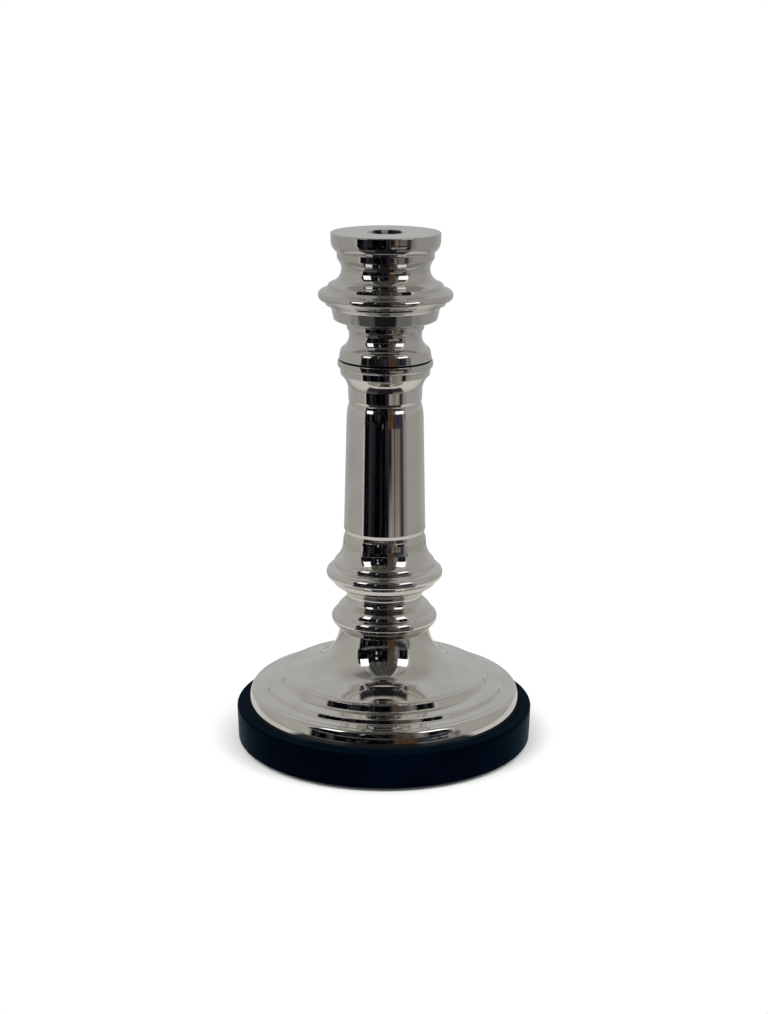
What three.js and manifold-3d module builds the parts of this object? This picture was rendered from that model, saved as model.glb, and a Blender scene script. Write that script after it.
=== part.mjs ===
// A turned candle stand: polished metal castings stacked on a black wooden disc and drawn together
// by one threaded rod. Millimetres, +Z up, origin at the middle of the surface that it stands on.
import * as THREE from "three";
import { mergeVertices } from "three/addons/utils/BufferGeometryUtils.js";
import Module from "manifold-3d";

// Felt pads under the wooden disc
const padCount = 4;
const padDiameter = 20;
const padThickness = 2;
const padInset = 5; // from the pad's rim to the disc's edge

// Wooden disc
const discDiameter = 180;
const discThickness = 21;
const discTopRound = 1.4;
const discBottomRound = 1;
const discTaper = 0.6; // the wall leans in by this much towards the table
const counterboreDiameter = 30;
const counterboreDepth = 13;

// Tie rod and its fasteners
const rodDiameter = 8;
const rodChamfer = 0.8;
const rodTail = 1.1; // the rod stands this far out of the nut
const rodHoleClearance = 0.5; // around the rod in the wooden disc
const threadClearance = 0.3; // around the rod in the nut, the washers and the cup
const threadDepth = 16; // rod inside the cup's boss
const threadRunout = 2; // empty thread beyond the rod's end
const flatWasherDiameter = 24;
const flatWasherThickness = 2;
const springWasherDiameter = 14.8;
const springWasherThickness = 2.2;
const springWasherSplit = 1.2; // the gap between its ends
const nutFlats = 6;
const nutAcrossFlats = 13;
const nutThickness = 6.5;
const nutChamfer = 0.9;

// What every casting shares: a bore for the rod, and a spigot that centres the piece above it
const castingBore = 29;
const spigotDiameter = 35;
const spigotHeight = 3;
const spigotChamfer = 0.5;
const spigotClearance = 0.3;

// Foot casting. A rise is a height above the feature before it. A swell is how far a round stretch
// stands off its chord, and a hollow stretch has a swell below nought.
const foot = {
  lipRadius: 82.9,
  lipRise: 0.9,
  faceFootRadius: 82.8,
  thirdFaceRadius: 81.3,
  thirdFaceRise: 7.5,
  thirdFaceSwell: 0.3,
  thirdCornerRadius: 79.7,
  thirdCornerRise: 2,
  thirdCornerSwell: 0.2,
  ledgeRadius: 77.7,
  ledgeRise: 0.2,
  ringRadius: 77.3,
  ringRise: 0.4,
  thirdTreadRadius: 73.2,
  thirdTreadRise: 0.9,
  secondFootRadius: 72.7,
  secondFootRise: 0.3,
  secondFaceRadius: 71.8,
  secondFaceRise: 2,
  secondCornerRadius: 70.9,
  secondCornerRise: 0.5,
  secondTreadRadius: 63.9,
  secondTreadRise: 1,
  firstFootRadius: 63.4,
  firstFootRise: 0.3,
  firstFaceRadius: 61.9,
  firstFaceRise: 3.2,
  firstCornerRadius: 61,
  firstCornerRise: 0.8,
  firstTreadRadius: 60,
  quirkRadius: 59.2,
  quirkDrop: 0.3,
  dishEdgeRadius: 57.8,
  dishEdgeRise: 0.8,
  dishRadius: 43.6,
  dishRise: 3.8,
  dishSwell: -0.4,
  flareRadius: 28.5,
  flareRise: 16.7,
  flareSwell: -2.4,
  neckRadius: 26.9,
  neckRise: 6.4,
  neckSwell: -0.1,
  rimWidth: 5.5, // the ring that stands on the wooden disc
  wall: 3.5,
  throatRise: 7.5, // the hollow's roof climbs this much from the dish to the bore
};

// Lower knop: an underside, a torus, a quarter round and a cove
const lowerKnop = {
  torusFootRadius: 29.6,
  torusFootRise: 3.3,
  torusTopRadius: 30.3,
  torusRise: 7.3,
  torusSwell: 1.9,
  roundFootRadius: 28.8,
  roundFootRise: 1,
  roundRadius: 25.5,
  roundRise: 4.7,
  roundSwell: 0.5,
  filletRadius: 24.7,
  filletRise: 0.8,
  waistRadius: 23,
  coveRise: 5.9,
  coveSwell: -1,
};

// Upper knop: a rounded underside, a fillet, the wide torus, a quarter round and a trumpet under a lip
const upperKnop = {
  waistRise: 1.5,
  undersideRadius: 30.6,
  undersideRise: 4.5,
  undersideSwell: 0.4,
  filletRadius: 31.3,
  filletRise: 2.5,
  torusFootRadius: 33.3,
  torusFootRise: 0.7,
  torusTopRadius: 31.5,
  torusRise: 6.9,
  torusSwell: 2.5,
  roundFootRadius: 30.4,
  roundFootRise: 0.9,
  roundRadius: 28.9,
  roundRise: 4,
  roundSwell: 0.6,
  trumpetRadius: 24.85,
  trumpetRise: 10.6,
  trumpetSwell: -1,
  uprightRadius: 24.7,
  uprightRise: 2.5,
  seatRadius: 24.15,
  seatRise: 1.5,
};

// Column: a quirk and a heel, then a tapered shaft with a rounded shoulder and a short neck
const column = {
  footRadius: 23.95,
  footRise: 0.7,
  quirkRadius: 23.6,
  quirkRise: 1.5,
  heelRadius: 24.4,
  heelRise: 2.2,
  shaftTopRadius: 22.9,
  shaftRise: 65.1,
  shoulderRadius: 22.2,
  shoulderRise: 8.5,
  shoulderSwell: 0.15,
  lipRadius: 21.6,
  lipRise: 1.7,
  neckRadius: 21.45,
  neckRise: 1.6,
  grooveRadius: 21.15,
  grooveRise: 0.4,
};

// Neck collar: a plain neck, a cavetto, a fillet and a flat bead
const collar = {
  neckFootRadius: 21.75,
  grooveRise: 1.6,
  neckTopRadius: 21.95,
  neckRise: 6.7,
  cavettoRadius: 26.3,
  cavettoRise: 7.9,
  cavettoSwell: -0.8,
  filletRadius: 26.7,
  filletRise: 3.9,
  beadFootRadius: 27.9,
  beadFootRise: 0.9,
  beadTopRadius: 28,
  beadRise: 3.4,
  beadSwell: 0.2,
  seatRadius: 26.6,
  seatRise: 0.6,
};

// Cup pedestal: a plain wall, a shoulder, a deep cove and a fillet
const pedestal = {
  wallFootRadius: 27.3,
  wallFootRise: 0.6,
  wallTopRadius: 26.6,
  wallRise: 4.1,
  shoulderRadius: 25.5,
  shoulderRise: 2.3,
  shoulderSwell: 0.2,
  waistRadius: 21.3,
  lowerCoveRise: 7.3,
  lowerCoveSwell: -1.1,
  upperCoveRadius: 21.9,
  upperCoveRise: 3.2,
  upperCoveSwell: -0.1,
  filletRadius: 22.7,
  filletFootRise: 1,
  filletRise: 2.8,
};

// Candle cup: underside, drum, cavetto, torus, cove and a rim over a quarter round
const cup = {
  undersideRadius: 24.2,
  undersideRise: 0.6,
  drumFootRadius: 30.3,
  drumFootRise: 2,
  drumFootSwell: 0.4,
  drumTopRadius: 31.8,
  drumRise: 6.4,
  cavettoRadius: 35.1,
  cavettoRise: 2.4,
  cavettoSwell: -0.4,
  filletRadius: 35.6,
  filletRise: 1.3,
  torusFootRadius: 37.2,
  torusFootRise: 1.1,
  torusTopRadius: 36.2,
  torusRise: 5.8,
  torusSwell: 2.8,
  coveFilletFootRadius: 34.3,
  coveFilletFootRise: 1.5,
  coveFilletTopRadius: 33.4,
  coveFilletRise: 1.9,
  coveFootRadius: 32.3,
  coveFootRise: 0.6,
  waistRadius: 25.9,
  lowerCoveRise: 9.5,
  lowerCoveSwell: -2.1,
  upperCoveRadius: 28.2,
  upperCoveRise: 4.7,
  upperCoveSwell: -0.3,
  rimFilletFootRadius: 28.4,
  rimFilletFootRise: 0.6,
  rimFilletTopRadius: 28.5,
  rimFilletRise: 3.4,
  roundFootRadius: 29.5,
  roundFootRise: 0.7,
  rimRadius: 32.1,
  roundRise: 9.7,
  roundSwell: 1.4,
  rimRise: 0.8,
  rimEdge: 0.5,
  candleHoleDiameter: 21.5,
  candleHoleDepth: 28,
  candleHoleEdge: 0.3,
};

// How finely the round shapes are faceted. Every count is a multiple of four, so that each round
// piece is as wide along X and Y as its diameter.
const wideSides = 48; // the disc and the foot
const turnedSides = 32;
const fastenerSides = 24;
const arcStep = THREE.MathUtils.degToRad(30);

// Finishes
const polishedNickel = new THREE.MeshStandardMaterial({ color: 0xb9b4ac, roughness: 0.08, metalness: 1 });
const blackLacquer = new THREE.MeshStandardMaterial({ color: 0x0b0d11, roughness: 0.35, metalness: 0 });
const zincSteel = new THREE.MeshStandardMaterial({ color: 0x9c9d9e, roughness: 0.35, metalness: 1 });
const blackFelt = new THREE.MeshStandardMaterial({ color: 0x1a1b1c, roughness: 1, metalness: 0 });

// The half section of a turned piece, as radius and height above the table. It is drawn up the
// outside and down the inside, and each call adds one stretch to it.
class Section {
  constructor(radius, height) {
    this.points = [new THREE.Vector2(radius, height)];
  }

  get end() {
    return this.points.at(-1);
  }

  get height() {
    return this.end.y;
  }

  // A straight stretch to a radius, rising by the given height.
  line(radius, rise) {
    this.points.push(new THREE.Vector2(radius, this.height + rise));
    return this;
  }

  // A straight stretch to a radius at a height above the table.
  lineTo(radius, height) {
    this.points.push(new THREE.Vector2(radius, height));
    return this;
  }

  // A round stretch. Its middle stands off the chord by the swell, outwards when it is over nought.
  round(radius, rise, swell) {
    const from = this.end;
    const to = new THREE.Vector2(radius, from.y + rise);
    const halfChord = from.distanceTo(to) / 2;
    const turn = 4 * Math.atan(swell / halfChord);
    const arcRadius = halfChord / Math.sin(turn / 2);
    const along = to.clone().sub(from).normalize();
    const outward = new THREE.Vector2(along.y, -along.x);
    const middle = from.clone().lerp(to, 0.5);
    const steps = Math.max(2, Math.ceil(Math.abs(turn) / arcStep));
    for (let i = 1; i < steps; i++) {
      const angle = (i / steps - 0.5) * turn;
      const offset = arcRadius * (Math.cos(angle) - Math.cos(turn / 2));
      const point = middle.clone().addScaledVector(along, arcRadius * Math.sin(angle));
      this.points.push(point.addScaledVector(outward, offset));
    }
    this.points.push(to);
    return this;
  }

  // Joins the end to the start, for a piece with a hole right through it.
  close() {
    this.points.push(this.points[0].clone());
    return this;
  }
}

// A turned solid with its axis along Z.
function turned(section, sides) {
  return new THREE.LatheGeometry(section.points, sides).rotateX(Math.PI / 2);
}

function piece(name, geometry, material) {
  const mesh = new THREE.Mesh(geometry, material);
  mesh.name = name;
  return mesh;
}

// The inside of a stacked casting: the spigot on top, the bore, and the recess in its underside
// that takes the spigot of the piece below.
const boreRadius = castingBore / 2;
const spigotRadius = spigotDiameter / 2;
const recessRadius = spigotRadius + spigotClearance;
const recessDepth = spigotHeight + spigotClearance;

function addSpigot(section) {
  return section
    .line(spigotRadius, 0)
    .line(spigotRadius, spigotHeight - spigotChamfer)
    .line(spigotRadius - spigotChamfer, spigotChamfer)
    .line(boreRadius, 0);
}

function addBoreAndRecess(section, seatHeight) {
  return section
    .lineTo(boreRadius, seatHeight + recessDepth)
    .lineTo(recessRadius, seatHeight + recessDepth)
    .lineTo(recessRadius, seatHeight)
    .close();
}

// Heights of what lies below the castings
const discFoot = padThickness;
const discTop = discFoot + discThickness;
const counterboreRoof = discFoot + counterboreDepth;
const rodRadius = rodDiameter / 2;

function makeFeltPads() {
  const ringRadius = discDiameter / 2 - padInset - padDiameter / 2;
  const pads = new THREE.Group();
  for (let i = 0; i < padCount; i++) {
    const angle = ((i + 0.5) / padCount) * 2 * Math.PI;
    const section = new Section(0, 0)
      .line(padDiameter / 2, 0)
      .line(padDiameter / 2, padThickness)
      .line(0, 0);
    const pad = piece(`felt_pad_${i + 1}`, turned(section, fastenerSides), blackFelt);
    pad.position.set(ringRadius * Math.cos(angle), ringRadius * Math.sin(angle), 0);
    pads.add(pad);
  }
  return pads;
}

function makeDisc() {
  const topRadius = discDiameter / 2;
  const footRadius = topRadius - discTaper;
  const quarterRoundSwell = 1 - Math.SQRT1_2;
  const wallRise = discThickness - discTopRound - discBottomRound;
  const section = new Section(footRadius - discBottomRound, discFoot)
    .round(footRadius, discBottomRound, discBottomRound * quarterRoundSwell)
    .line(topRadius, wallRise)
    .round(topRadius - discTopRound, discTopRound, discTopRound * quarterRoundSwell)
    .lineTo(rodRadius + rodHoleClearance, discTop)
    .lineTo(rodRadius + rodHoleClearance, counterboreRoof)
    .lineTo(counterboreDiameter / 2, counterboreRoof)
    .lineTo(counterboreDiameter / 2, discFoot)
    .close();
  return piece("base_disc", turned(section, wideSides), blackLacquer);
}

function makeFoot() {
  const f = foot;
  const section = new Section(f.lipRadius, discTop)
    .line(f.faceFootRadius, f.lipRise)
    .round(f.thirdFaceRadius, f.thirdFaceRise, f.thirdFaceSwell)
    .round(f.thirdCornerRadius, f.thirdCornerRise, f.thirdCornerSwell);
  const thirdCornerHeight = section.height;
  section
    .line(f.ledgeRadius, f.ledgeRise)
    .line(f.ringRadius, f.ringRise)
    .line(f.thirdTreadRadius, f.thirdTreadRise)
    .line(f.secondFootRadius, f.secondFootRise)
    .line(f.secondFaceRadius, f.secondFaceRise)
    .line(f.secondCornerRadius, f.secondCornerRise)
    .line(f.secondTreadRadius, f.secondTreadRise);
  const secondTreadHeight = section.height;
  section
    .line(f.firstFootRadius, f.firstFootRise)
    .line(f.firstFaceRadius, f.firstFaceRise)
    .line(f.firstCornerRadius, f.firstCornerRise)
    .line(f.firstTreadRadius, 0)
    .line(f.quirkRadius, -f.quirkDrop)
    .line(f.dishEdgeRadius, f.dishEdgeRise)
    .round(f.dishRadius, f.dishRise, f.dishSwell);
  const dishHeight = section.height;
  section
    .round(f.flareRadius, f.flareRise, f.flareSwell)
    .round(f.neckRadius, f.neckRise, f.neckSwell);
  const top = section.height;
  addSpigot(section)
    .lineTo(boreRadius, dishHeight - f.wall + f.throatRise)
    .lineTo(f.dishRadius, dishHeight - f.wall)
    .lineTo(f.secondTreadRadius, secondTreadHeight - f.wall)
    .lineTo(f.thirdTreadRadius, thirdCornerHeight - f.wall)
    .lineTo(f.lipRadius - f.rimWidth, thirdCornerHeight - f.wall)
    .lineTo(f.lipRadius - f.rimWidth, discTop)
    .close();
  return { mesh: piece("foot_casting", turned(section, wideSides), polishedNickel), top };
}

// A casting that sits on the one below it. The profile function draws its outside.
function stackedCasting(name, seatRadius, seatHeight, profile) {
  const section = new Section(seatRadius, seatHeight);
  profile(section);
  const top = section.height;
  addBoreAndRecess(addSpigot(section), seatHeight);
  return { mesh: piece(name, turned(section, turnedSides), polishedNickel), top };
}

function makeLowerKnop(seatHeight) {
  const k = lowerKnop;
  return stackedCasting("lower_knop", foot.neckRadius, seatHeight, (section) =>
    section
      .line(k.torusFootRadius, k.torusFootRise)
      .round(k.torusTopRadius, k.torusRise, k.torusSwell)
      .line(k.roundFootRadius, k.roundFootRise)
      .round(k.roundRadius, k.roundRise, k.roundSwell)
      .line(k.filletRadius, k.filletRise)
      .round(k.waistRadius, k.coveRise, k.coveSwell),
  );
}

function makeUpperKnop(seatHeight) {
  const k = upperKnop;
  return stackedCasting("upper_knop", lowerKnop.waistRadius, seatHeight, (section) =>
    section
      .line(lowerKnop.waistRadius, k.waistRise)
      .round(k.undersideRadius, k.undersideRise, k.undersideSwell)
      .line(k.filletRadius, k.filletRise)
      .line(k.torusFootRadius, k.torusFootRise)
      .round(k.torusTopRadius, k.torusRise, k.torusSwell)
      .line(k.roundFootRadius, k.roundFootRise)
      .round(k.roundRadius, k.roundRise, k.roundSwell)
      .round(k.trumpetRadius, k.trumpetRise, k.trumpetSwell)
      .line(k.uprightRadius, k.uprightRise)
      .line(k.seatRadius, k.seatRise),
  );
}

function makeColumn(seatHeight) {
  const c = column;
  return stackedCasting("column", upperKnop.seatRadius, seatHeight, (section) =>
    section
      .line(c.footRadius, c.footRise)
      .line(c.quirkRadius, c.quirkRise)
      .line(c.heelRadius, c.heelRise)
      .line(c.shaftTopRadius, c.shaftRise)
      .round(c.shoulderRadius, c.shoulderRise, c.shoulderSwell)
      .line(c.lipRadius, c.lipRise)
      .line(c.neckRadius, c.neckRise)
      .line(c.grooveRadius, c.grooveRise),
  );
}

function makeCollar(seatHeight) {
  const c = collar;
  return stackedCasting("neck_collar", column.grooveRadius, seatHeight, (section) =>
    section
      .line(c.neckFootRadius, c.grooveRise)
      .line(c.neckTopRadius, c.neckRise)
      .round(c.cavettoRadius, c.cavettoRise, c.cavettoSwell)
      .line(c.filletRadius, c.filletRise)
      .line(c.beadFootRadius, c.beadFootRise)
      .round(c.beadTopRadius, c.beadRise, c.beadSwell)
      .line(c.seatRadius, c.seatRise),
  );
}

function makePedestal(seatHeight) {
  const p = pedestal;
  return stackedCasting("cup_pedestal", collar.seatRadius, seatHeight, (section) =>
    section
      .line(p.wallFootRadius, p.wallFootRise)
      .line(p.wallTopRadius, p.wallRise)
      .round(p.shoulderRadius, p.shoulderRise, p.shoulderSwell)
      .round(p.waistRadius, p.lowerCoveRise, p.lowerCoveSwell)
      .round(p.upperCoveRadius, p.upperCoveRise, p.upperCoveSwell)
      .line(p.filletRadius, p.filletFootRise)
      .line(p.filletRadius, p.filletRise),
  );
}

// The cup is solid but for the candle hole in its top and the threaded hole in its underside.
function makeCup(seatHeight) {
  const c = cup;
  const threadFloor = seatHeight + recessDepth;
  const threadRoof = threadFloor + threadDepth + threadRunout;
  const holeRadius = c.candleHoleDiameter / 2;
  const section = new Section(0, threadRoof)
    .line(rodRadius + threadClearance, 0)
    .lineTo(rodRadius + threadClearance, threadFloor)
    .lineTo(recessRadius, threadFloor)
    .lineTo(recessRadius, seatHeight)
    .lineTo(pedestal.filletRadius, seatHeight)
    .line(c.undersideRadius, c.undersideRise)
    .round(c.drumFootRadius, c.drumFootRise, c.drumFootSwell)
    .line(c.drumTopRadius, c.drumRise)
    .round(c.cavettoRadius, c.cavettoRise, c.cavettoSwell)
    .line(c.filletRadius, c.filletRise)
    .line(c.torusFootRadius, c.torusFootRise)
    .round(c.torusTopRadius, c.torusRise, c.torusSwell)
    .line(c.coveFilletFootRadius, c.coveFilletFootRise)
    .line(c.coveFilletTopRadius, c.coveFilletRise)
    .line(c.coveFootRadius, c.coveFootRise)
    .round(c.waistRadius, c.lowerCoveRise, c.lowerCoveSwell)
    .round(c.upperCoveRadius, c.upperCoveRise, c.upperCoveSwell)
    .line(c.rimFilletFootRadius, c.rimFilletFootRise)
    .line(c.rimFilletTopRadius, c.rimFilletRise)
    .line(c.roundFootRadius, c.roundFootRise)
    .round(c.rimRadius, c.roundRise, c.roundSwell)
    .line(c.rimRadius, c.rimRise - c.rimEdge)
    .line(c.rimRadius - c.rimEdge, c.rimEdge);
  const top = section.height;
  section
    .line(holeRadius + c.candleHoleEdge, 0)
    .line(holeRadius, -c.candleHoleEdge)
    .lineTo(holeRadius, top - c.candleHoleDepth)
    .line(0, 0);
  return { mesh: piece("candle_cup", turned(section, turnedSides), polishedNickel), top };
}

function makeRod(footHeight, topHeight) {
  const section = new Section(0, footHeight)
    .line(rodRadius - rodChamfer, 0)
    .line(rodRadius, rodChamfer)
    .lineTo(rodRadius, topHeight - rodChamfer)
    .line(rodRadius - rodChamfer, rodChamfer)
    .line(0, 0);
  return piece("tie_rod", turned(section, fastenerSides), zincSteel);
}

function makeFlatWasher(topHeight) {
  const holeRadius = rodRadius + threadClearance;
  const section = new Section(flatWasherDiameter / 2, topHeight - flatWasherThickness)
    .line(flatWasherDiameter / 2, flatWasherThickness)
    .line(holeRadius, 0)
    .line(holeRadius, -flatWasherThickness)
    .close();
  return piece("flat_washer", turned(section, fastenerSides), zincSteel);
}

// A ring of square section, cut through on one side.
function makeSpringWasher(topHeight) {
  const outer = springWasherDiameter / 2;
  const inner = rodRadius + threadClearance;
  const outerStart = Math.asin(springWasherSplit / 2 / outer);
  const innerStart = Math.asin(springWasherSplit / 2 / inner);
  const fullTurn = 2 * Math.PI;
  const ring = new THREE.Shape();
  ring.absarc(0, 0, outer, outerStart, fullTurn - outerStart, false);
  ring.absarc(0, 0, inner, fullTurn - innerStart, innerStart, true);
  const options = { depth: springWasherThickness, bevelEnabled: false, curveSegments: fastenerSides / 2 };
  const washer = piece("spring_washer", new THREE.ExtrudeGeometry(ring, options), zincSteel);
  washer.position.z = topHeight - springWasherThickness;
  return washer;
}

// A closed solid for a boolean, with its shared vertices merged.
function solidOf(wasm, geometry) {
  const bare = geometry.clone();
  bare.deleteAttribute("normal");
  bare.deleteAttribute("uv");
  const merged = mergeVertices(bare);
  return new wasm.Manifold(
    new wasm.Mesh({
      numProp: 3,
      vertProperties: new Float32Array(merged.attributes.position.array),
      triVerts: new Uint32Array(merged.index.array),
    }),
  );
}

function geometryOf(solid) {
  const mesh = solid.getMesh();
  const geometry = new THREE.BufferGeometry();
  geometry.setAttribute("position", new THREE.BufferAttribute(mesh.vertProperties, 3));
  geometry.setIndex(new THREE.BufferAttribute(mesh.triVerts, 1));
  const faceted = geometry.toNonIndexed();
  faceted.computeVertexNormals();
  return faceted;
}

// A hexagonal prism with a hole, whose corners are turned off at both ends.
function makeNut(wasm, topHeight) {
  const flatRadius = nutAcrossFlats / 2;
  const cornerRadius = flatRadius / Math.cos(Math.PI / nutFlats);
  const hexagon = new THREE.Shape();
  for (let i = 0; i < nutFlats; i++) {
    const angle = (i / nutFlats) * 2 * Math.PI;
    const corner = [cornerRadius * Math.cos(angle), cornerRadius * Math.sin(angle)];
    if (i === 0) hexagon.moveTo(...corner);
    else hexagon.lineTo(...corner);
  }
  hexagon.closePath();
  const hole = new THREE.Path();
  hole.absarc(0, 0, rodRadius + threadClearance, 0, 2 * Math.PI, true);
  hexagon.holes.push(hole);
  const options = { depth: nutThickness, bevelEnabled: false, curveSegments: fastenerSides / 2 };
  const prism = new THREE.ExtrudeGeometry(hexagon, options);
  const blank = new Section(0, 0)
    .line(flatRadius, 0)
    .line(cornerRadius + nutChamfer, nutChamfer)
    .lineTo(cornerRadius + nutChamfer, nutThickness - nutChamfer)
    .line(flatRadius, nutChamfer)
    .line(0, 0);
  const solid = solidOf(wasm, prism).intersect(solidOf(wasm, turned(blank, fastenerSides * 2)));
  const nut = piece("hex_nut", geometryOf(solid), zincSteel);
  nut.position.z = topHeight - nutThickness;
  return nut;
}

const wasm = await Module();
wasm.setup();

const stand = new THREE.Group();
stand.name = "candle_stand";
stand.add(makeFeltPads(), makeDisc());

const footCasting = makeFoot();
const lowerKnopCasting = makeLowerKnop(footCasting.top);
const upperKnopCasting = makeUpperKnop(lowerKnopCasting.top);
const columnCasting = makeColumn(upperKnopCasting.top);
const collarCasting = makeCollar(columnCasting.top);
const pedestalCasting = makePedestal(collarCasting.top);
const cupCasting = makeCup(pedestalCasting.top);
const castings = [
  footCasting,
  lowerKnopCasting,
  upperKnopCasting,
  columnCasting,
  collarCasting,
  pedestalCasting,
  cupCasting,
];
stand.add(...castings.map((casting) => casting.mesh));

const springWasherTop = counterboreRoof - flatWasherThickness;
const nutTop = springWasherTop - springWasherThickness;
const rodFoot = nutTop - nutThickness - rodTail;
const rodTop = pedestalCasting.top + recessDepth + threadDepth;
stand.add(
  makeFlatWasher(counterboreRoof),
  makeSpringWasher(springWasherTop),
  makeNut(wasm, nutTop),
  makeRod(rodFoot, rodTop),
);

export default stand;
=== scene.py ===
import math

import bmesh
import bpy
from mathutils import Matrix, Vector


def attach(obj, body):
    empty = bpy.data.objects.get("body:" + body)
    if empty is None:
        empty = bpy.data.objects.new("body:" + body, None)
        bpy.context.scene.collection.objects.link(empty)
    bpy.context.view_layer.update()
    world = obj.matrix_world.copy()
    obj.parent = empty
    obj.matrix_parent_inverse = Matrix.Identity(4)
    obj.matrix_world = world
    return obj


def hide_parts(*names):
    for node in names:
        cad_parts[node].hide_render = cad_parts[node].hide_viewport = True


# A turned candle stand: polished nickel castings on a black lacquered disc.
# Sizes are in millimetres and angles in degrees, unless a note says otherwise; meshes are in metres.
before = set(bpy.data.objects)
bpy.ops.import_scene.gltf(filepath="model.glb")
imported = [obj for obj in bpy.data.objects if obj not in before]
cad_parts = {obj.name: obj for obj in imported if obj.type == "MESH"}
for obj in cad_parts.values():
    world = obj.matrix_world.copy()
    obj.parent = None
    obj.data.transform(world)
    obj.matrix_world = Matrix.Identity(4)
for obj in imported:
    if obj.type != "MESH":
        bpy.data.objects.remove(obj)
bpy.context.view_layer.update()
print("frame loaded:", len(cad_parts), "parts")

scene = bpy.context.scene
millimetre = 0.001


# Helpers for finishes and shapes
def addNode(tree, kind, values=None, **settings):
    made = tree.nodes.new(kind)
    for name, value in settings.items():
        setattr(made, name, value)
    for key, value in (values or {}).items():
        plug(tree, made.inputs[key], value)
    return made


def plug(tree, socket, value):
    if isinstance(value, bpy.types.NodeSocket):
        tree.links.new(value, socket)
    else:
        socket.default_value = value


def reckon(tree, operation, *values, clamp=False):
    made = addNode(tree, "ShaderNodeMath", operation=operation, use_clamp=clamp)
    for socket, value in zip(made.inputs, values):
        plug(tree, socket, value)
    return made.outputs[0]


def times(tree, first, second):
    return reckon(tree, "MULTIPLY", first, second)


def plus(tree, first, second):
    return reckon(tree, "ADD", first, second)


def blendColour(tree, factor, under, over):
    made = addNode(tree, "ShaderNodeMix", data_type="RGBA")
    for place, value in ((0, factor), (6, under), (7, over)):
        plug(tree, made.inputs[place], value)
    return made.outputs[2]


def remap(tree, value, fromLow, fromHigh, toLow=0.0, toHigh=1.0, smooth=True):
    made = addNode(
        tree,
        "ShaderNodeMapRange",
        {0: value, 1: fromLow, 2: fromHigh, 3: toLow, 4: toHigh},
        interpolation_type="SMOOTHSTEP" if smooth else "LINEAR",
    )
    return made.outputs[0]


def window(tree, value, low, high, soft):
    rise = remap(tree, value, low - soft, low + soft)
    fall = remap(tree, value, high - soft, high + soft, 1.0, 0.0)
    return times(tree, rise, fall)


def grey(level):
    return (level, level, level, 1.0)


def dimmed(tree, colour, level):
    values = {0: colour, "Scale": level}
    return addNode(tree, "ShaderNodeVectorMath", values, operation="SCALE").outputs[0]


def noise(tree, place, scale, detail, **more):
    values = {"Vector": place, "Scale": scale, "Detail": detail, **more}
    return addNode(tree, "ShaderNodeTexNoise", values).outputs[0]


def cells(tree, place, scale):
    return addNode(tree, "ShaderNodeTexVoronoi", {"Vector": place, "Scale": scale}).outputs["Distance"]


def relief(tree, height, depth, strength=1.0, **more):
    values = {"Strength": strength, "Distance": depth, "Height": height, **more}
    return addNode(tree, "ShaderNodeBump", values).outputs[0]


def fromAxis(tree, x, y):
    return reckon(tree, "SQRT", plus(tree, times(tree, x, x), times(tree, y, y)))


def azimuthOf(tree, x, y):
    # Counted from the camera's side, to the right
    return reckon(tree, "DEGREES", reckon(tree, "ARCTAN2", x, times(tree, y, -1.0)))


def mixShaders(tree, factor, first, second):
    return addNode(tree, "ShaderNodeMixShader", {0: factor, 1: first, 2: second}).outputs[0]


def glow(tree, kind, colour, strength=1.0):
    return addNode(tree, kind, {"Color": colour, "Strength": strength}).outputs[0]


# Camera
cameraSizes = {
    "place": (0.0, -1112.15, 448.06),
    "lookDown": 15.216,  # below the horizon
    "lean": 0.236,  # how far the stand leans to the right in the picture
    "turn": -0.023,  # to the right
    "lens": 68.3,
    "sensor": 36.0,
}


def makeCamera(sizes):
    data = bpy.data.cameras.new("studioCamera")
    data.lens = sizes["lens"]
    data.sensor_width = sizes["sensor"]
    camera = bpy.data.objects.new("studioCamera", data)
    scene.collection.objects.link(camera)
    camera.matrix_world = (
        Matrix.Translation(Vector(sizes["place"]) * millimetre)
        @ Matrix.Rotation(math.radians(-sizes["turn"]), 4, "Z")
        @ Matrix.Rotation(math.radians(90 - sizes["lookDown"]), 4, "X")
        @ Matrix.Rotation(math.radians(sizes["lean"]), 4, "Z")
    )
    scene.camera = camera


makeCamera(cameraSizes)
print("camera placed")


# Finishes
def newFinish(name, **values):
    material = bpy.data.materials.new(name)
    material.use_nodes = True
    tree = material.node_tree
    shader = tree.nodes["Principled BSDF"]
    for key, value in values.items():
        shader.inputs[key.replace("_", " ")].default_value = value
    return material, tree, shader


# In the finishes, depths of relief are in metres, and scales count features to the metre.
nickelLook = {
    "bright": (0.755, 0.735, 0.705, 1.0),
    "dull": (0.70, 0.675, 0.64, 1.0),
    "roughness": (0.035, 0.075),
    "roughLevels": (0.0, 1.2),
    "tarnish": 45.0,
    "tarnishLevels": (0.38, 0.66),
    "specks": 700.0,
    "speckEdge": (0.05, 0.11),
    "speckTint": (0.80, 1.0),
    "smears": 260.0,
    "leastSmear": 0.5,
    "turningLines": 1400.0,
    "turningDepth": 0.0000006,
    "waves": 55.0,
    "waveDepth": 0.00002,
}
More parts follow.
